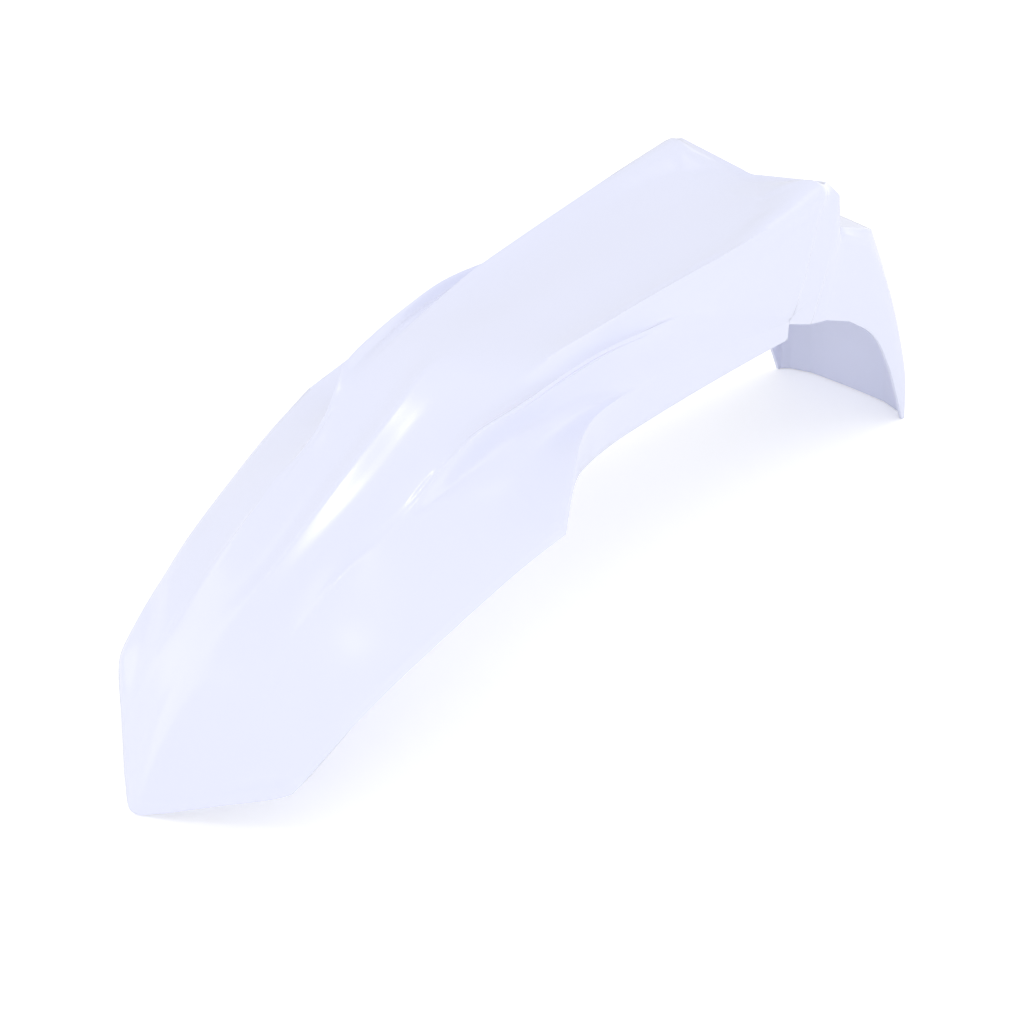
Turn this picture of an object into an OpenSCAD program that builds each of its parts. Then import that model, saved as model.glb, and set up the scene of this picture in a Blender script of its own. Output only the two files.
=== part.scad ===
// Front mudguard of an off-road motorcycle, moulded in one piece.
// The shell is a loft: eight rails run from the nose to the tail on each side,
// and every section is a smooth curve drawn through the rails.
// X runs rearwards from the middle of the length, Y to the side, Z up from the floor.

/* [Nose] */
// Distance of the nose corners behind the tip
nose_sweep = 52; // [30:1:75]
// Width across the nose corners
nose_width = 173; // [140:1:200]
// Height of the nose corners above the floor
nose_lift = 36; // [25:1:50]
// Height of the turned-down lip along the front edge
nose_lip = 7; // [4:0.5:10]
// Radius that rounds the tip, seen from above
tip_radius = 7; // [4:0.5:16]
// Height of the keel where its crease begins, behind the tip
keel_start_z = 119; // [105:1:130]
// Height of the keel where it runs out in the top panel
keel_end_z = 199; // [188:1:206]

/* [Wings] */
// Distance of the widest corners behind the tip
wing_x = 237; // [220:1:250]
// Width across the widest corners
wing_width = 239; // [210:1:270]
// Height of the widest corners
wing_z = 138.5; // [128:0.5:150]
// Depth of the lip that turns down along the wing edge
wing_lip = 5; // [3:0.5:8]

/* [Waist] */
// Distance behind the tip at which the waist becomes straight
waist_x = 342; // [325:1:360]
// Width across the bottom edge of the waist
waist_width = 146; // [130:1:160]
// Height of the bottom edge of the waist
waist_z = 143; // [135:1:150]
// Height of the flange along the waist
flange_height = 30; // [22:1:34]

/* [Top panel] */
// Distance of the rear edge of the top panel behind the tip
panel_x = 557; // [540:1:575]
// Height of the rear edge of the top panel, on the centre line
panel_z = 240; // [228:1:248]
// Height of the raised rear corners
horn_z = 250; // [242:1:260]
// Width of the top panel across the raised rear corners
horn_width = 140; // [120:1:150]

/* [Tail] */
// Distance of the tail edge behind the tip
tail_x = 735; // [700:5:780]
// Width across the sides of the tail
tail_width = 130; // [120:1:138]
// Width across the top of the tail, between its rounded corners
tail_top_width = 122; // [112:1:128]
// Height of the flat top of the tail, behind the step
tail_top_z = 210; // [200:1:220]
// Height of the arch in the side of the tail
arch_z = 140; // [125:1:150]

/* [Wall] */
// Thickness of the moulding
wall = 2.8; // [2:0.1:4]

/* [Hidden] */

// Half widths
nose_y = nose_width / 2;
wing_y = wing_width / 2;
waist_y = waist_width / 2;
horn_y = horn_width / 2;
top_y = tail_top_width / 2;
tail_y = tail_width / 2;

// A rail point is [station, x, y, z, corner]; a corner of 1 breaks the curve there.
// The front edge runs straight from the rounded tip to the nose corner.
function bow(y) = norm([y, tip_radius]) - tip_radius;
function front(share) =
    let (rise = bow(nose_y * share) / bow(nose_y))
    [0, nose_sweep * rise, nose_y * share, nose_lift * rise, 1];
function lip(share) =
    let (f = front(share))
    [6, f[1] + 3, f[2] * 0.985, f[3] + nose_lip, 1];

keel = [
    front(0), lip(0), [30, 27, 0, 44.5, 0], [60, 58, 0, 77, 0], [120, 120, 0, keel_start_z, 0],
    [168, 168, 0, 153, 0], [201, 201, 0, 175, 0], [237, 237, 0, keel_end_z, 0], [265, 265, 0, 206, 0],
    [330, 330, 0, 211, 0], [450, 450, 0, 226, 0], [520, 520, 0, 235, 0], [524, 524, 0, 235.6, 0],
    [553, panel_x - 4, 0, panel_z - 2.4, 1], [557, panel_x, 0, panel_z, 1],
    [566, panel_x + 9, 0, tail_top_z + 5, 1], [573, panel_x + 20, 0, tail_top_z + 2, 1],
    [580, panel_x + 34, 0, tail_top_z, 1], [612, panel_x + 75, 0, 197, 1], [650, tail_x - 61, 0, 148, 0],
    [700, tail_x - 29, 0, 94, 0], [745, tail_x - 8, 0, 44, 0], [790, tail_x, 0, 0, 1]
];
floor_line = [
    front(0.2), lip(0.2), [30, 38, 18, 51, 0], [60, 66, 17, 80.5, 0], [120, 122, 15, 116, 0],
    [168, 168, 17, 146, 0], [201, 201, 18, 167.5, 0], [237, 237, 21, 191.5, 0], [265, 265, 28, 203.5, 0],
    [330, 330, 40, 210.5, 0], [450, 450, 46, 228, 0], [520, 521, 38, 241, 1], [524, 523, 35, 240.8, 1],
    [553, panel_x - 4, 8, panel_z - 1.6, 1], [557, panel_x, 8, panel_z + 1.2, 1],
    [566, panel_x + 10, 36, tail_top_z + 6, 1], [573, panel_x + 20, 38, tail_top_z + 2, 1],
    [580, panel_x + 33, 38, tail_top_z - 1, 1], [612, panel_x + 74, 38, 196, 1],
    [650, tail_x - 63, 38, 147, 0], [700, tail_x - 31, 38, 94, 0], [745, tail_x - 9, 38, 44, 0],
    [790, tail_x - 1, 38, 0, 1]
];
ridge = [
    front(0.42), lip(0.42), [30, 48, 37, 55, 0], [60, 72, 38, 80, 0], [120, 124, 36, 118.5, 0],
    [160, 162, 41, 141.5, 0], [178, 180, 43.5, 151.5, 0], [196, 197, 45.5, 163.5, 0],
    [220, 222, 47, 180, 0], [250, 253, 48.5, 195, 0], [290, 288, 51, 207, 0], [330, 330, 57, 216.5, 0],
    [380, 383, 61.5, 225.3, 0], [450, 454, 67.5, 235.5, 0], [490, 496, 69.5, 242.5, 0],
    [520, panel_x - 15, horn_y - 0.5, horn_z + 1, 1], [524, panel_x - 12, horn_y - 2, horn_z + 2, 1],
    [557, panel_x - 2, horn_y - 6.5, horn_z + 1.5, 1], [566, panel_x + 13, top_y + 1, 219, 1],
    [573, panel_x + 20, top_y, tail_top_z, 1], [580, panel_x + 28, top_y + 0.5, tail_top_z - 1, 1],
    [612, panel_x + 70, top_y + 0.5, 195.5, 1], [650, tail_x - 69.5, top_y - 2.5, 143, 0],
    [700, tail_x - 38.5, top_y - 3, 91, 0], [745, tail_x - 17.5, top_y - 3, 43, 0],
    [790, tail_x - 8, top_y - 3.5, 0, 1]
];
groove = [
    front(0.47), lip(0.47), [30, 50, 41, 55.8, 0], [60, 74, 42, 80, 0], [120, 124, 40, 119.5, 0],
    [160, 162, 44.5, 140.7, 0], [178, 180, 46.5, 150.5, 0], [196, 198, 48, 163, 0],
    [220, 222, 53.5, 182, 0], [250, 254, 60, 192, 0], [290, 288, 64.5, 199.5, 0],
    [330, 330, 67.5, 205.5, 0], [380, 380, 70.6, 210, 0], [450, 452, 71.3, 215, 0],
    [520, panel_x - 19, horn_y + 1.4, 231, 1], [524, panel_x - 16, horn_y + 0.4, 232, 1],
    [557, panel_x + 7, horn_y, horn_z - 9, 1], [566, panel_x + 14, horn_y - 1, 219, 1],
    [573, panel_x + 24, tail_y, 204, 1], [580, panel_x + 32, tail_y - 0.6, 203, 1],
    [612, panel_x + 66, tail_y - 0.5, 187, 1], [650, tail_x - 73, tail_y - 2, 138, 0],
    [700, tail_x - 44, tail_y - 2, 88, 0], [745, tail_x - 24, tail_y - 1, 42, 0],
    [790, tail_x - 14, tail_y - 1, 0, 1]
];
crest = [
    front(0.52), lip(0.52), [30, 52, 45, 56.4, 0], [60, 77, 46, 80.3, 0], [120, 125, 43, 120.5, 0],
    [160, 161, 47.5, 139.8, 0], [178, 179, 49, 149, 0], [196, 199, 51, 164, 0], [212, 214, 56, 178.3, 0],
    [224, 226, 60.7, 188, 0], [254, 254, 66, 196, 0], [285, 285, 68.5, 204.2, 0],
    [318, 318, 71.2, 210, 0], [352, 352, 72.5, 210.5, 0], [390, 390, 73, 208, 0],
    [430, 432, 72.5, 197, 0], [475, 477, 72, 181, 0], [520, 521, 71, 163, 1], [524, 525, 69.8, 164, 1],
    [557, panel_x + 1, 68.7, 172, 1], [566, panel_x + 5, tail_y + 2, 173, 1],
    [573, panel_x + 16, tail_y + 1.5, 173, 1], [580, panel_x + 25, tail_y + 0.2, 172, 1],
    [612, panel_x + 57, tail_y, 166, 1], [650, tail_x - 77, tail_y - 0.5, 128, 0],
    [700, tail_x - 48.5, tail_y - 0.5, 80, 0], [745, tail_x - 27.5, tail_y, 36, 0],
    [790, tail_x - 15.5, tail_y, 0, 1]
];
foot = [
    front(0.58), lip(0.58), [30, 55, 50, 57.2, 0], [60, 79, 51, 80, 0], [120, 126, 46, 120, 0],
    [160, 160, 50, 138.5, 0], [196, 196, 55, 152, 0], [225, 225, 61, 164, 0], [250, 250, 67, 172, 0],
    [290, 290, 73, 178.5, 0], [330, 330, 73, 176.5, 0], [380, 380, 71.5, 174, 0],
    [450, 450, 70.5, 170, 0], [520, 520, 70, 160.5, 1], [524, 523, 68.8, 161, 1],
    [557, panel_x - 2, 67.8, 158, 1], [566, panel_x + 2, tail_y + 1.2, 158, 1],
    [573, panel_x + 13.5, tail_y + 0.9, 158, 1], [580, panel_x + 22.5, tail_y, 157, 1],
    [612, panel_x + 54, tail_y, 149, 1], [650, tail_x - 82, tail_y, 116, 0],
    [700, tail_x - 51, tail_y, 73, 0], [745, tail_x - 30, tail_y, 33, 0],
    [790, tail_x - 16.5, tail_y, 0, 1]
];
fold = [
    front(0.95), lip(0.95), [30, 78, 86, 60.5, 0], [60, 95, 91.5, 73.5, 0], [120, 128, 98.5, 94.5, 0],
    [196, 198, 110, 128.6, 0], [237, wing_x, wing_y - 3, wing_z + wing_lip, 1],
    [250, 257, 105.5, 158.5, 0], [262, 270, 97, 169, 0], [275, 281, 91, 174, 0], [300, 302, 82.5, 176, 0],
    [342, waist_x + 3, 73.5, waist_z + flange_height, 0],
    [420, 420, 70.8, waist_z + flange_height - 3, 0], [520, 520, 69.5, waist_z + flange_height - 14.5, 1],
    [524, 523, 68.3, waist_z + flange_height - 14.5, 1], [557, panel_x - 4, 67.3, arch_z + 9, 1],
    [566, panel_x, tail_y + 0.8, arch_z + 8.5, 1], [573, panel_x + 11.5, tail_y + 0.6, arch_z + 8, 1],
    [580, panel_x + 20.5, tail_y, arch_z + 7, 1], [612, panel_x + 52, tail_y, arch_z - 2, 1],
    [650, tail_x - 84, tail_y, 109, 0], [700, tail_x - 53, tail_y, 68, 0],
    [745, tail_x - 33, tail_y, 31, 0], [790, tail_x - 17.5, tail_y, 0, 1]
];
edge = [
    [0, nose_sweep + 1, nose_y - 0.3, nose_lift + 0.5, 1],
    [6, nose_sweep + 6, nose_y + 1.8, nose_lift + 5, 0], [30, 76, 92, 56, 0], [60, 96.5, 96, 70.3, 0],
    [120, 128, 102.3, 90, 0], [196, 198, 114, 125, 0], [237, wing_x, wing_y, wing_z, 1],
    [250, 254, 108.5, 154, 0], [262, 266, 101.5, 157, 0], [275, 279, 95, 154.5, 0],
    [300, 302, 85.5, 149.5, 0], [342, waist_x, waist_y + 1, waist_z, 0],
    [420, 421, waist_y - 1.5, waist_z + 2, 0], [520, 520, 70, waist_z + 2.5, 1],
    [524, 522, 68.5, 156.5, 1], [557, panel_x - 5, 66.8, arch_z + 5.5, 1],
    [566, panel_x - 1, tail_y + 0.6, arch_z + 4, 1], [573, panel_x + 10.5, tail_y + 0.4, arch_z + 1.5, 1],
    [580, panel_x + 19, tail_y, arch_z, 1], [612, panel_x + 51, tail_y, arch_z - 12, 1],
    [650, tail_x - 87, tail_y, 102, 0], [700, tail_x - 56, tail_y, 64, 0],
    [745, tail_x - 35, tail_y, 29, 0], [790, tail_x - 19, tail_y, 0, 1]
];
RAILS = [keel, floor_line, ridge, groove, crest, foot, fold, edge];

// Points added between one rail and the next
STEPS = [3, 3, 2, 2, 4, 6, 2];

function place(p) = [p[1], p[2], p[3]];
function chord(r, i, j) = (place(r[j]) - place(r[i])) / (r[j][0] - r[i][0]);
function breaks(r, i) = i == 0 || i == len(r) - 1 || r[i][4] == 1;

// Slope of a curve that leaves a corner freely, from its chord and the slope at its other end
function free_end(c, other) = 1.5 * c - 0.5 * other;
function slope_out(r, i) = !breaks(r, i) ? chord(r, i - 1, i + 1)
    : free_end(chord(r, i, i + 1), chord(r, i, breaks(r, i + 1) ? i + 1 : i + 2));
function slope_in(r, i) = !breaks(r, i) ? chord(r, i - 1, i + 1)
    : free_end(chord(r, i - 1, i), chord(r, breaks(r, i - 1) ? i - 1 : i - 2, i));

// Cubic curve from a to b with end slopes ta and tb
function blend(a, b, ta, tb, t) =
    a * (2 * t * t * t - 3 * t * t + 1) + ta * (t * t * t - 2 * t * t + t)
    + b * (3 * t * t - 2 * t * t * t) + tb * (t * t * t - t * t);

function span_of(r, s, i = 0) = i == len(r) - 2 || s <= r[i + 1][0] ? i : span_of(r, s, i + 1);
function on_rail(r, s) =
    let (i = span_of(r, s), w = r[i + 1][0] - r[i][0], t = (s - r[i][0]) / w)
    blend(place(r[i]), place(r[i + 1]), slope_out(r, i) * w, slope_in(r, i + 1) * w, t);

// How softly a section turns at each rail: 0 is a crisp crease, 1 is a smooth flow
function ramp(s, a, b) = min(1, max(0, (s - a) / (b - a)));
function softness(k, s) =
    k == 0 ? max(1 - ramp(s, 70, 120), ramp(s, 225, 265))
    : k == 1 ? 1 - ramp(s, 500, 520)
    : k == 2 ? max(1 - ramp(s, 222, 250), ramp(s, 450, 490) * (1 - ramp(s, 530, 555)))
    : k == 3 ? 1 - 0.6 * ramp(s, 215, 250) * (1 - ramp(s, 380, 430)) - 0.8 * ramp(s, 520, 524)
    : k == 4 ? max(1 - ramp(s, 180, 200), 0.35 + 0.65 * ramp(s, 560, 600))
    : k == 5 ? max(1 - ramp(s, 110, 140), 0.3 + ramp(s, 200, 240))
    : 1 - 0.8 * ramp(s, 100, 200);

function unit(v) = v / max(norm(v), 0.0001);
function turn(p, k, s) =
    let (a = k == 0 ? [0, 1, 0] : unit(p[k] - p[k - 1]), b = k == 7 ? a : unit(p[k + 1] - p[k]))
    unit(a + b);
function half_section(s) =
    let (p = [for (r = RAILS) on_rail(r, s)])
    [
        for (k = [0 : 6])
            let (c = p[k + 1] - p[k], d = norm(c), m = STEPS[k],
                a = softness(k, s), b = softness(k + 1, s),
                flow_a = (k == 0 ? [0, 1, 0] : turn(p, k, s)) * d, flow_b = turn(p, k + 1, s) * d,
                ta = flow_a * a + free_end(c, c * (1 - b) + flow_b * b) * (1 - a),
                tb = flow_b * b + free_end(c, c * (1 - a) + flow_a * a) * (1 - b))
            for (j = [0 : m - 1]) blend(p[k], p[k + 1], ta, tb, j / m),
        p[7]
    ];
function mirrored(p) = [p[0], -p[1], p[2]];
function section(s) =
    let (h = half_section(s), n = len(h))
    [for (i = [n - 1 : -1 : 1]) mirrored(h[i]), for (q = h) q];

// Stations: [from, to, steps]
BANDS = [[0, 6, 2], [6, 60, 6], [60, 196, 10], [196, 237, 4], [237, 300, 8], [300, 520, 12],
    [520, 524, 1], [524, 553, 3], [553, 557, 1], [557, 566, 2],
    [566, 573, 1], [573, 580, 1], [580, 612, 3], [612, 790, 9]];
STATIONS = [for (b = BANDS) for (i = [0 : b[2] - 1]) b[0] + (b[1] - b[0]) * i / b[2], 790];

SKIN = [for (s = STATIONS) section(s)];
rows = len(SKIN);
cols = len(SKIN[0]);

// Inner skin, one wall thickness inside along the surface normal
function normal_at(i, j) =
    let (du = SKIN[min(i + 1, rows - 1)][j] - SKIN[max(i - 1, 0)][j],
        dv = SKIN[i][min(j + 1, cols - 1)] - SKIN[i][max(j - 1, 0)])
    unit(cross(du, dv));
NORMALS = [for (i = [0 : rows - 1]) [for (j = [0 : cols - 1]) normal_at(i, j)]];
function within(i, n) = min(max(i, 0), n - 1);
function total(v, i = 0) = i == len(v) - 1 ? v[i] : v[i] + total(v, i + 1);
// The inner skin runs a little softer over the creases than the outer one
function inward(i, j) = unit(total([for (a = [-1 : 1]) for (b = [-2 : 2])
    (2 - abs(a)) * (3 - abs(b)) * NORMALS[within(i + a, rows)][within(j + b, cols)]]));
function above_floor(p) = [p[0], p[1], max(p[2], 0)];
INNER = [for (i = [0 : rows - 1]) [for (j = [0 : cols - 1]) above_floor(SKIN[i][j] - inward(i, j) * wall)]];

module mudguard_shell() {
    count = rows * cols;
    points = concat([for (r = SKIN) for (p = r) p], [for (r = INNER) for (p = r) p]);
    function id(i, j) = i * cols + j;
    outer = [for (i = [0 : rows - 2]) for (j = [0 : cols - 2])
        each [[id(i, j), id(i, j + 1), id(i + 1, j + 1)], [id(i, j), id(i + 1, j + 1), id(i + 1, j)]]];
    inner = [for (f = outer) [f[2] + count, f[1] + count, f[0] + count]];
    loop = concat([for (j = [0 : cols - 2]) id(0, j)], [for (i = [0 : rows - 2]) id(i, cols - 1)],
        [for (j = [cols - 1 : -1 : 1]) id(rows - 1, j)], [for (i = [rows - 1 : -1 : 1]) id(i, 0)]);
    rim = [for (k = [0 : len(loop) - 1]) let (a = loop[k], b = loop[(k + 1) % len(loop)])
        each [[a, a + count, b + count], [a, b + count, b]]];
    color([0.92, 0.93, 1]) translate([-tail_x / 2, 0, 0])
        polyhedron(points, concat(outer, inner, rim), convexity = 8);
}

mudguard_shell();
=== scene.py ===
# %% [markdown]
# # A front mudguard for an off-road motorcycle
#
# This lesson shapes one thin moulded shell. Eight lines called rails run from the nose to the tail.
# A smooth curve is drawn across them at many places, and the surface is stretched over those curves.
# The shell then gets its wall thickness, a plastic material, a studio floor and soft light.

import math

import bpy
import numpy as np
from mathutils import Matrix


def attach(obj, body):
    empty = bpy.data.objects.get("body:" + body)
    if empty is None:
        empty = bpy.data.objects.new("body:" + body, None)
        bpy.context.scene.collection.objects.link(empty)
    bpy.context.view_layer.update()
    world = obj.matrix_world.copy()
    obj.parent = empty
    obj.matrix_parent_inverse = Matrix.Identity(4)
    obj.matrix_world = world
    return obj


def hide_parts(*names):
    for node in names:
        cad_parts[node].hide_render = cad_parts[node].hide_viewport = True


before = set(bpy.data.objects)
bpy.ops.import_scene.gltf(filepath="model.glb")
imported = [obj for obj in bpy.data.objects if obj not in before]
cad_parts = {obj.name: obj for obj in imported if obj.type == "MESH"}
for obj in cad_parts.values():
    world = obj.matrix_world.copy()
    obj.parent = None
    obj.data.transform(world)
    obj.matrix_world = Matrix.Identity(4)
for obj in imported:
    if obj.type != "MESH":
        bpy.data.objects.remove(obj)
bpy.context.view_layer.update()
print("The frame holds", list(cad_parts))

# %% [markdown]
# ## Small helpers
#
# Colours are written as sRGB hex and turned into the linear values that shaders work with.
# One function adds a shader node with its settings and its links, so materials stay short.


# %% Colour and node helpers
def colour(hex_code):
    """A hex colour such as #ffffff as linear red, green, blue and alpha."""
    parts = [int(hex_code[i : i + 2], 16) / 255 for i in (1, 3, 5)]
    return tuple(c / 12.92 if c <= 0.04045 else ((c + 0.055) / 1.055) ** 2.4 for c in parts) + (1.0,)


def add(tree, kind, inputs=None, links=None, **settings):
    """Adds one node. inputs are values by socket, links are output sockets by socket."""
    node = tree.nodes.new(kind)
    for name, value in settings.items():
        setattr(node, name, value)
    for socket, value in (inputs or {}).items():
        node.inputs[socket].default_value = value
    for socket, source in (links or {}).items():
        tree.links.new(source, node.inputs[socket])
    return node


def new_material(name):
    """An empty node material and its output node."""
    material = bpy.data.materials.new(name)
    material.use_nodes = True
    material.node_tree.nodes.clear()
    return material, material.node_tree, add(material.node_tree, "ShaderNodeOutputMaterial")


# %% [markdown]
# ## The sizes
#
# The real shell is about 735 mm long, and these are the sizes that drive its form, in millimetres.
# Most of them are widths and heights where the form turns: the nose corners, the wing corners,
# the waist, the rear of the top panel and the tail.

# %% Sizes of the shell
nose_sweep = 52  # distance of the nose corners behind the tip
nose_width = 173  # width across the nose corners
nose_lift = 36  # height of the nose corners above the floor
nose_lip = 7  # height of the turned-down lip along the front edge
tip_radius = 7  # radius that rounds the tip, seen from above
keel_start_z = 119  # height of the keel where its crease begins, behind the tip
keel_end_z = 199  # height of the keel where it runs out in the top panel
wing_x = 237  # distance of the widest corners behind the tip
wing_width = 239  # width across the widest corners
wing_z = 138.5  # height of the widest corners
wing_lip = 5  # depth of the lip that turns down along the wing edge
waist_x = 342  # distance behind the tip at which the waist becomes straight
waist_width = 146  # width across the bottom edge of the waist
waist_z = 143  # height of the bottom edge of the waist
flange_height = 30  # height of the flange along the waist
panel_x = 557  # distance of the rear edge of the top panel behind the tip
panel_z = 240  # height of the rear edge of the top panel, on the centre line
horn_z = 250  # height of the raised rear corners
horn_width = 140  # width of the top panel across the raised rear corners
tail_x = 735  # distance of the tail edge behind the tip
tail_width = 130  # width across the sides of the tail
tail_top_width = 122  # width across the top of the tail, between its rounded corners
tail_top_z = 210  # height of the flat top of the tail, behind the step
arch_z = 140  # height of the arch in the side of the tail

nose_y = nose_width / 2
wing_y = wing_width / 2
waist_y = waist_width / 2
horn_y = horn_width / 2
top_y = tail_top_width / 2
tail_y = tail_width / 2
print("Length:", tail_x, "mm, width:", wing_width, "mm")

# %% [markdown]
# ## The rails
#
# Each rail is a list of points: station, x, y, z and a corner flag.
# A station is a place along the shell, from 0 at the nose to 790 at the tail edge.
# x runs rearwards from the nose tip, y is the distance from the middle, and z is the height.
# A flag of 1 makes the rail turn sharply at that point.
# The front edge runs straight from the rounded tip to the nose corner, so its points follow a rule:
# front gives the point at a share of the half width, and lip gives the point just above it.


# %% The front edge
def bow(y):
    """How far a straight edge with a rounded tip has come back at y."""
    return math.hypot(y, tip_radius) - tip_radius


def front(share):
    """The point of the front edge at a share of the half width."""
    rise = bow(nose_y * share) / bow(nose_y)
    return [0, nose_sweep * rise, nose_y * share, nose_lift * rise, 1]


def lip(share):
    """The point just above it: 3 mm further back and a little nearer to the middle."""
    _, x, y, z, corner = front(share)
    return [6, x + 3, y * 0.985, z + nose_lip, corner]


# %% Rails from the nose to the tail
# The middle line
keel = [
    front(0), lip(0), [30, 27, 0, 44.5, 0], [60, 58, 0, 77, 0], [120, 120, 0, keel_start_z, 0],
    [168, 168, 0, 153, 0], [201, 201, 0, 175, 0], [237, 237, 0, keel_end_z, 0], [265, 265, 0, 206, 0],
    [330, 330, 0, 211, 0], [450, 450, 0, 226, 0], [520, 520, 0, 235, 0], [524, 524, 0, 235.6, 0],
    [553, panel_x - 4, 0, panel_z - 2.4, 1], [557, panel_x, 0, panel_z, 1],
    [566, panel_x + 9, 0, tail_top_z + 5, 1], [573, panel_x + 20, 0, tail_top_z + 2, 1],
    [580, panel_x + 34, 0, tail_top_z, 1], [612, panel_x + 75, 0, 197, 1], [650, tail_x - 61, 0, 148, 0],
    [700, tail_x - 29, 0, 94, 0], [745, tail_x - 8, 0, 44, 0], [790, tail_x, 0, 0, 1],
]
# The foot of the ridge's inner slope
floor_line = [
    front(0.2), lip(0.2), [30, 38, 18, 51, 0], [60, 66, 17, 80.5, 0], [120, 122, 15, 116, 0],
    [168, 168, 17, 146, 0], [201, 201, 18, 167.5, 0], [237, 237, 21, 191.5, 0], [265, 265, 28, 203.5, 0],
    [330, 330, 40, 210.5, 0], [450, 450, 46, 228, 0], [520, 521, 38, 241, 1], [524, 523, 35, 240.8, 1],
    [553, panel_x - 4, 8, panel_z - 1.6, 1], [557, panel_x, 8, panel_z + 1.2, 1],
    [566, panel_x + 10, 36, tail_top_z + 6, 1], [573, panel_x + 20, 38, tail_top_z + 2, 1],
    [580, panel_x + 33, 38, tail_top_z - 1, 1], [612, panel_x + 74, 38, 196, 1],
    [650, tail_x - 63, 38, 147, 0], [700, tail_x - 31, 38, 94, 0], [745, tail_x - 9, 38, 44, 0],
    [790, tail_x - 1, 38, 0, 1],
]
# The top of the ridge
ridge = [
    front(0.42), lip(0.42), [30, 48, 37, 55, 0], [60, 72, 38, 80, 0], [120, 124, 36, 118.5, 0],
    [160, 162, 41, 141.5, 0], [178, 180, 43.5, 151.5, 0], [196, 197, 45.5, 163.5, 0],
    [220, 222, 47, 180, 0], [250, 253, 48.5, 195, 0], [290, 288, 51, 207, 0], [330, 330, 57, 216.5, 0],
    [380, 383, 61.5, 225.3, 0], [450, 454, 67.5, 235.5, 0], [490, 496, 69.5, 242.5, 0],
    [520, panel_x - 15, horn_y - 0.5, horn_z + 1, 1], [524, panel_x - 12, horn_y - 2, horn_z + 2, 1],
    [557, panel_x - 2, horn_y - 6.5, horn_z + 1.5, 1], [566, panel_x + 13, top_y + 1, 219, 1],
    [573, panel_x + 20, top_y, tail_top_z, 1], [580, panel_x + 28, top_y + 0.5, tail_top_z - 1, 1],
    [612, panel_x + 70, top_y + 0.5, 195.5, 1], [650, tail_x - 69.5, top_y - 2.5, 143, 0],
    [700, tail_x - 38.5, top_y - 3, 91, 0], [745, tail_x - 17.5, top_y - 3, 43, 0],
    [790, tail_x - 8, top_y - 3.5, 0, 1],
]
# The bottom of the channel beside the ridge
groove = [
    front(0.47), lip(0.47), [30, 50, 41, 55.8, 0], [60, 74, 42, 80, 0], [120, 124, 40, 119.5, 0],
    [160, 162, 44.5, 140.7, 0], [178, 180, 46.5, 150.5, 0], [196, 198, 48, 163, 0],
    [220, 222, 53.5, 182, 0], [250, 254, 60, 192, 0], [290, 288, 64.5, 199.5, 0],
    [330, 330, 67.5, 205.5, 0], [380, 380, 70.6, 210, 0], [450, 452, 71.3, 215, 0],
    [520, panel_x - 19, horn_y + 1.4, 231, 1], [524, panel_x - 16, horn_y + 0.4, 232, 1],
    [557, panel_x + 7, horn_y, horn_z - 9, 1], [566, panel_x + 14, horn_y - 1, 219, 1],
    [573, panel_x + 24, tail_y, 204, 1], [580, panel_x + 32, tail_y - 0.6, 203, 1],
    [612, panel_x + 66, tail_y - 0.5, 187, 1], [650, tail_x - 73, tail_y - 2, 138, 0],
    [700, tail_x - 44, tail_y - 2, 88, 0], [745, tail_x - 24, tail_y - 1, 42, 0],
    [790, tail_x - 14, tail_y - 1, 0, 1],
]
# The bead along the top of the side wall
crest = [
    front(0.52), lip(0.52), [30, 52, 45, 56.4, 0], [60, 77, 46, 80.3, 0], [120, 125, 43, 120.5, 0],
    [160, 161, 47.5, 139.8, 0], [178, 179, 49, 149, 0], [196, 199, 51, 164, 0], [212, 214, 56, 178.3, 0],
    [224, 226, 60.7, 188, 0], [254, 254, 66, 196, 0], [285, 285, 68.5, 204.2, 0],
    [318, 318, 71.2, 210, 0], [352, 352, 72.5, 210.5, 0], [390, 390, 73, 208, 0],
    [430, 432, 72.5, 197, 0], [475, 477, 72, 181, 0], [520, 521, 71, 163, 1], [524, 525, 69.8, 164, 1],
    [557, panel_x + 1, 68.7, 172, 1], [566, panel_x + 5, tail_y + 2, 173, 1],
    [573, panel_x + 16, tail_y + 1.5, 173, 1], [580, panel_x + 25, tail_y + 0.2, 172, 1],
    [612, panel_x + 57, tail_y, 166, 1], [650, tail_x - 77, tail_y - 0.5, 128, 0],
    [700, tail_x - 48.5, tail_y - 0.5, 80, 0], [745, tail_x - 27.5, tail_y, 36, 0],
    [790, tail_x - 15.5, tail_y, 0, 1],
]
# The foot of the side wall
foot = [
    front(0.58), lip(0.58), [30, 55, 50, 57.2, 0], [60, 79, 51, 80, 0], [120, 126, 46, 119, 0],
    [160, 160, 50, 138.5, 0], [196, 196, 55, 152, 0], [225, 225, 61, 164, 0], [250, 250, 67, 172, 0],
    [290, 290, 73, 178.5, 0], [330, 330, 73, 176.5, 0], [380, 380, 71.5, 174, 0],
    [450, 450, 70.5, 170, 0], [520, 520, 70, 160.5, 1], [524, 523, 68.8, 161, 1],
    [557, panel_x - 2, 67.8, 158, 1], [566, panel_x + 2, tail_y + 1.2, 158, 1],
    [573, panel_x + 13.5, tail_y + 0.9, 158, 1], [580, panel_x + 22.5, tail_y, 157, 1],
    [612, panel_x + 54, tail_y, 149, 1], [650, tail_x - 82, tail_y, 116, 0],
    [700, tail_x - 51, tail_y, 73, 0], [745, tail_x - 30, tail_y, 33, 0],
    [790, tail_x - 16.5, tail_y, 0, 1],
]
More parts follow.
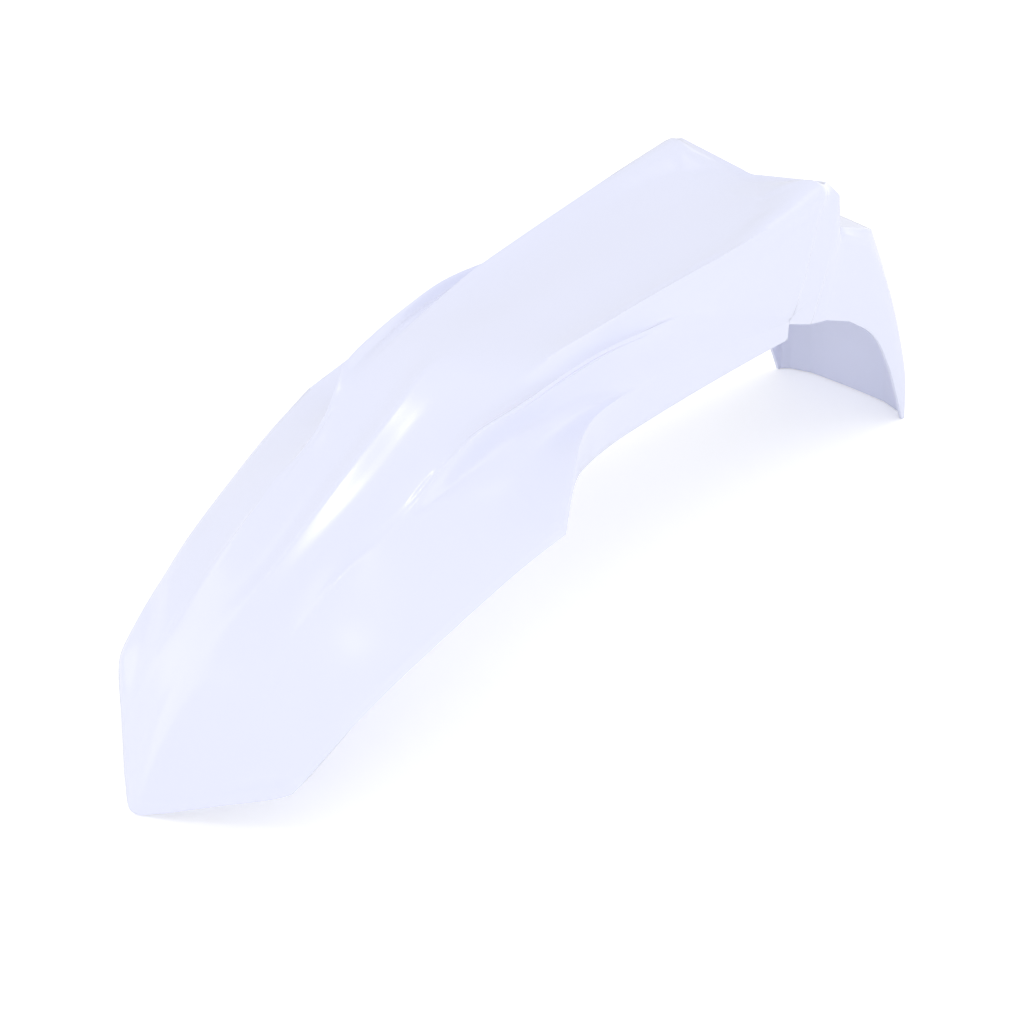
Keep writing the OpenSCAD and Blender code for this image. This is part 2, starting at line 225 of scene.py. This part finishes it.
# The bend above the turned-down edge
fold = [
    front(0.95), lip(0.95), [30, 78, 86, 60.5, 0], [60, 95, 91.5, 73.5, 0], [120, 128, 98.5, 94.5, 0],
    [196, 198, 110, 128.6, 0], [237, wing_x, wing_y - 3, wing_z + wing_lip, 1],
    [250, 257, 105.5, 158.5, 0], [262, 270, 97, 169, 0], [275, 281, 91, 174, 0], [300, 302, 82.5, 176, 0],
    [342, waist_x + 3, 73.5, waist_z + flange_height, 0],
    [420, 420, 70.8, waist_z + flange_height - 3, 0], [520, 520, 69.5, waist_z + flange_height - 14.5, 1],
    [524, 523, 68.3, waist_z + flange_height - 14.5, 1], [557, panel_x - 4, 67.3, arch_z + 9, 1],
    [566, panel_x, tail_y + 0.8, arch_z + 8.5, 1], [573, panel_x + 11.5, tail_y + 0.6, arch_z + 8, 1],
    [580, panel_x + 20.5, tail_y, arch_z + 7, 1], [612, panel_x + 52, tail_y, arch_z - 2, 1],
    [650, tail_x - 84, tail_y, 109, 0], [700, tail_x - 53, tail_y, 68, 0],
    [745, tail_x - 33, tail_y, 31, 0], [790, tail_x - 17.5, tail_y, 0, 1],
]
# The free edge
edge = [
    [0, nose_sweep + 1, nose_y - 0.3, nose_lift + 0.5, 1],
    [6, nose_sweep + 6, nose_y + 1.8, nose_lift + 5, 0], [30, 76, 92, 56, 0], [60, 96.5, 96, 70.3, 0],
    [120, 128, 102.3, 90, 0], [196, 198, 114, 125, 0], [237, wing_x, wing_y, wing_z, 1],
    [250, 254, 108.5, 154, 0], [262, 266, 101.5, 157, 0], [275, 279, 95, 154.5, 0],
    [300, 302, 85.5, 149.5, 0], [342, waist_x, waist_y + 1, waist_z, 0],
    [420, 421, waist_y - 1.5, waist_z + 2, 0], [520, 520, 70, waist_z + 2.5, 1],
    [524, 522, 68.5, 156.5, 1], [557, panel_x - 5, 66.8, arch_z + 5.5, 1],
    [566, panel_x - 1, tail_y + 0.6, arch_z + 4, 1], [573, panel_x + 10.5, tail_y + 0.4, arch_z + 1.5, 1],
    [580, panel_x + 19, tail_y, arch_z, 1], [612, panel_x + 51, tail_y, arch_z - 12, 1],
    [650, tail_x - 87, tail_y, 102, 0], [700, tail_x - 56, tail_y, 64, 0],
    [745, tail_x - 35, tail_y, 29, 0], [790, tail_x - 19, tail_y, 0, 1],
]
RAILS = [np.array(rail, float) for rail in (keel, floor_line, ridge, groove, crest, foot, fold, edge)]
LAST = len(RAILS) - 1
print("Rails:", len(RAILS), "with", sum(map(len, RAILS)), "points")

# %% [markdown]
# ## From rails to a surface
#
# A cubic curve is drawn between two points of a rail, and its end slopes come from the neighbours.
# Across the shell the same curve joins one rail to the next.
# Softness says how smoothly a section turns at a rail: 0 is a crease and 1 is a flowing bend.


# %% Curves along and across
def blend(a, b, slope_a, slope_b, t):
    """Cubic curve from a to b."""
    return (
        a * (2 * t**3 - 3 * t**2 + 1)
        + slope_a * (t**3 - 2 * t**2 + t)
        + b * (3 * t**2 - 2 * t**3)
        + slope_b * (t**3 - t**2)
    )


def free_end(chord, other):
    """Slope of a curve that leaves a corner freely, from its chord and the slope at its other end."""
    return 1.5 * chord - 0.5 * other


def on_rail(rail, s):
    """The point of a rail at station s."""
    i = 0
    while i < len(rail) - 2 and s > rail[i + 1][0]:
        i += 1

    def chord(a, b):
        return (rail[b][1:4] - rail[a][1:4]) / (rail[b][0] - rail[a][0])

    def breaks(a):
        return a in (0, len(rail) - 1) or rail[a][4] == 1

    width = rail[i + 1][0] - rail[i][0]
    before = i if breaks(i) else i - 1
    after = i + 1 if breaks(i + 1) else i + 2
    start = free_end(chord(i, i + 1), chord(i, after)) if breaks(i) else chord(i - 1, i + 1)
    end = free_end(chord(i, i + 1), chord(before, i + 1)) if breaks(i + 1) else chord(i, i + 2)
    return blend(rail[i][1:4], rail[i + 1][1:4], start * width, end * width, (s - rail[i][0]) / width)


def ramp(s, a, b):
    """0 before a, 1 after b, a straight line between."""
    return min(1.0, max(0.0, (s - a) / (b - a)))


def softness(k, s):
    """How softly a section at station s turns at rail k."""
    keel_soft = max(0.25, 1 - ramp(s, 70, 120), ramp(s, 225, 265))
    floor_soft = 1 - ramp(s, 500, 520)
    ridge_soft = max(1 - ramp(s, 222, 250), ramp(s, 450, 490) * (1 - ramp(s, 530, 555)))
    groove_soft = 1 - 0.6 * ramp(s, 215, 250) * (1 - ramp(s, 380, 430)) - 0.8 * ramp(s, 520, 524)
    crest_soft = max(1 - ramp(s, 180, 200), 0.35 + 0.65 * ramp(s, 560, 600))
    foot_soft = max(1 - ramp(s, 110, 140), 0.3 + ramp(s, 200, 240))
    edge_soft = 1 - 0.8 * ramp(s, 60, 120)
    return [keel_soft, floor_soft, ridge_soft, groove_soft, crest_soft, foot_soft, edge_soft, edge_soft][k]


def unit(v):
    """The same direction with length 1."""
    return v / max(np.linalg.norm(v), 1e-6)


def half_section(s, steps):
    """Points from the middle line to the edge, at station s."""
    p = [on_rail(rail, s) for rail in RAILS]
    turn = [np.array([0.0, 1.0, 0.0])]
    for k in range(1, LAST + 1):
        after = min(k + 1, LAST)
        turn.append(unit(unit(p[k] - p[k - 1]) + unit(p[after] - p[after - 1])))
    points = []
    for k, count in enumerate(steps):
        c = p[k + 1] - p[k]
        a, b = softness(k, s), softness(k + 1, s)
        flow_a, flow_b = turn[k] * np.linalg.norm(c), turn[k + 1] * np.linalg.norm(c)
        slope_a = flow_a * a + free_end(c, c * (1 - b) + flow_b * b) * (1 - a)
        slope_b = flow_b * b + free_end(c, c * (1 - a) + flow_a * a) * (1 - b)
        points += [blend(p[k], p[k + 1], slope_a, slope_b, j / count) for j in range(count)]
    return points + [p[LAST]]


# %% [markdown]
# ## Stretch a grid over the rails
#
# Blender's grid primitive gives the mesh, and every vertex of it moves to its place on the sections.
# The far half is the near half with y turned round, so both sides match exactly.
# STEPS holds the number of faces between each rail and the next. BANDS holds the first station,
# the last station and the number of sections of each stretch, with more of them where the form turns.

# %% The outer skin
STEPS = [8, 8, 6, 5, 8, 12, 5]
BANDS = [
    (0, 6, 3), (6, 60, 13), (60, 196, 32), (196, 237, 10), (237, 300, 15), (300, 520, 52),
    (520, 524, 2), (524, 553, 7), (553, 557, 2), (557, 566, 2), (566, 573, 4), (573, 580, 4),
    (580, 612, 8), (612, 790, 42),
]
stations = [a + (b - a) * i / n for a, b, n in BANDS for i in range(n)] + [BANDS[-1][1]]
halves = [half_section(s, STEPS) for s in stations]
rows, cols = len(stations), 2 * len(halves[0]) - 1

bpy.ops.object.select_all(action="DESELECT")
bpy.ops.mesh.primitive_grid_add(x_subdivisions=cols - 1, y_subdivisions=rows - 1, size=1)
shell = bpy.context.object
shell.name = "mudguard"
middle = np.array([tail_x / 2, 0, 0])
for i, half in enumerate(halves):
    near = [p * [1, -1, 1] for p in half[:0:-1]]
    for j, p in enumerate(near + half):
        shell.data.vertices[i * cols + j].co = (p - middle) / 1000
print("Outer skin:", rows, "sections of", cols, "points")

# %% [markdown]
# ## Give it a wall
#
# Solidify thickens the skin towards the inside, because the outer skin is the one that was measured.
# A small bevel rounds the two edges of the rim, as a mould leaves them.

# %% Wall thickness and rim
WALL = 2.8  # thickness of the moulding, in mm
RIM_BEVEL = 0.8  # width of the rounded edges of the rim, in mm
RIM_ANGLE = 50  # edges that turn more than this are rounded, in degrees
SHARP_ANGLE = 40  # edges that turn more than this stay sharp in the shading, in degrees

bpy.ops.object.mode_set(mode="EDIT")
bpy.ops.mesh.select_all(action="SELECT")
bpy.ops.mesh.normals_make_consistent(inside=False)
bpy.ops.object.mode_set(mode="OBJECT")
if shell.data.polygons[(rows // 4) * (cols - 1) + cols // 2].normal.z < 0:
    shell.data.flip_normals()
solid = shell.modifiers.new("wall", "SOLIDIFY")
solid.thickness = WALL / 1000
solid.offset = -1
solid.use_even_offset = False
bevel = shell.modifiers.new("rim", "BEVEL")
bevel.width = RIM_BEVEL / 1000
bevel.segments = 2
bevel.limit_method = "ANGLE"
bevel.angle_limit = math.radians(RIM_ANGLE)
for modifier in list(shell.modifiers):
    bpy.ops.object.modifier_apply(modifier=modifier.name)
for vertex in shell.data.vertices:
    vertex.co.z = max(vertex.co.z, 0.0)  # nothing dips under the floor
bpy.ops.object.shade_smooth_by_angle(angle=math.radians(SHARP_ANGLE))
shell.data.calc_loop_triangles()
print("Shell:", len(shell.data.loop_triangles), "triangles")

# %% [markdown]
# ## Injection-moulded polypropylene
#
# The plastic is white with a cool tint, fairly smooth, and its surface has a very fine unevenness
# that breaks up the reflections a little.

# %% Material
GRAIN = 900.0  # noise cells per metre, so one is about 1.1 mm wide
GRAIN_DEPTH = 0.0002  # in metres

plastic, tree, out = new_material("injection-moulded polypropylene, white")
coords = add(tree, "ShaderNodeTexCoord")
grain = add(tree, "ShaderNodeTexNoise", {"Scale": GRAIN, "Detail": 2.0}, {"Vector": coords.outputs["Object"]})
bump = {"Strength": 0.05, "Distance": GRAIN_DEPTH}
fine = add(tree, "ShaderNodeBump", bump, {"Height": grain.outputs["Fac"]})
body = add(
    tree,
    "ShaderNodeBsdfPrincipled",
    {"Base Color": colour("#e5e8fb"), "Roughness": 0.2, "IOR": 1.49},
    {"Normal": fine.outputs["Normal"]},
)
tree.links.new(body.outputs["BSDF"], out.inputs["Surface"])
shell.data.materials.append(plastic)
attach(shell, "root")
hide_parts("mudguard_shell")
print("Material:", plastic.name)

# %% [markdown]
# ## Floor and light
#
# The floor is plain and pale. Its own small glow is seen by the camera only, so the white background
# stays white, while the shadow of the shell still shows.
# An even white sky gives most of the light. A small soft box high in front makes the highlight
# on the keel, and five weak, wide ones fill the front, the sides and the tail.

# %% Floor
FLOOR_GAP = 0.0005  # the floor lies this far under the shell, in metres
FLOOR_GLOW = 0.245  # what the camera sees the floor give off

bpy.ops.object.select_all(action="DESELECT")
bpy.ops.mesh.primitive_plane_add(size=8, location=(0, 0, -FLOOR_GAP))
floor = bpy.context.object
floor.name = "studio floor"
paper, tree, out = new_material("white paper")
path = add(tree, "ShaderNodeLightPath")
seen = path.outputs["Is Camera Ray"]
glow = add(tree, "ShaderNodeMath", {1: FLOOR_GLOW}, {0: seen}, operation="MULTIPLY")
sheet = add(
    tree,
    "ShaderNodeBsdfPrincipled",
    {"Base Color": colour("#fcfcfc"), "Roughness": 0.9, "Specular IOR Level": 0.1,
     "Emission Color": colour("#ffffff")},
    {"Emission Strength": glow.outputs["Value"]},
)
tree.links.new(sheet.outputs["BSDF"], out.inputs["Surface"])
floor.data.materials.append(paper)
print("Floor:", floor.name)


# %% Light
def soft_box(name, place, aim, width, power):
    """A white square light that faces the point aim. Places and width are in metres, power in watts."""
    bpy.ops.object.select_all(action="DESELECT")
    bpy.ops.object.light_add(type="AREA", location=place)
    light = bpy.context.object
    light.name = name
    light.data.size = width
    light.data.energy = power
    way = np.array(aim, float) - np.array(place, float)
    light.rotation_euler = (
        math.atan2(math.hypot(way[0], way[1]), -way[2]),
        0,
        math.atan2(-way[0], way[1]),
    )


SKY = 0.795  # strength of the sky for all rays but the camera's own

soft_box("high soft box", (-1.15, 0.09, 1.9), (-0.2, 0, 0.145), 0.22, 2.6)
soft_box("low front fill", (-1.38, -1.38, 0.6), (0, 0, 0.1), 1.8, 3.5)
soft_box("near fill", (0.7, -0.7, 1.85), (0, 0, 0.1), 1.4, 5)
soft_box("far fill", (-1.38, 1.38, 0.6), (0, 0, 0.1), 1.6, 7)
soft_box("side fill", (-0.3, -1.9, 0.3), (0.1, 0, 0.1), 1.0, 4)
soft_box("rear fill", (1.96, 0, 0.55), (0, 0, 0.1), 1.4, 5)
world = bpy.data.worlds.new("studio sky")
world.use_nodes = True
tree = world.node_tree
tree.nodes.clear()
path = add(tree, "ShaderNodeLightPath")
sky = add(tree, "ShaderNodeBackground", {"Color": colour("#ffffff"), "Strength": SKY})
white = add(tree, "ShaderNodeBackground", {"Color": colour("#ffffff"), "Strength": 1.0})
seen = path.outputs["Is Camera Ray"]
shades = {0: seen, 1: sky.outputs["Background"], 2: white.outputs["Background"]}
mix = add(tree, "ShaderNodeMixShader", None, shades)
add(tree, "ShaderNodeOutputWorld", None, {"Surface": mix.outputs["Shader"]})
bpy.context.scene.world = world
lamps = [thing.name for thing in bpy.data.objects if thing.type == "LIGHT"]
print("Lights:", ", ".join(lamps))

# %% [markdown]
# ## Camera
#
# The camera stands where the photograph was taken from: in front, to the near side, looking down.

# %% Camera
CAMERA_PLACE = (-0.6484, -0.5880, 0.6128)  # in metres
CAMERA_DOWN = 33.08  # how far it looks down, in degrees
CAMERA_TURN = -45  # how far it is turned from the y axis, in degrees

bpy.ops.object.select_all(action="DESELECT")
bpy.ops.object.camera_add(
    location=CAMERA_PLACE, rotation=(math.radians(90 - CAMERA_DOWN), 0, math.radians(CAMERA_TURN))
)
camera = bpy.context.object
camera.data.sensor_width = 36
camera.data.lens = 52.04
scene = bpy.context.scene
scene.camera = camera
scene.view_settings.view_transform = "Standard"
print("Camera lens", round(camera.data.lens, 1), "mm")
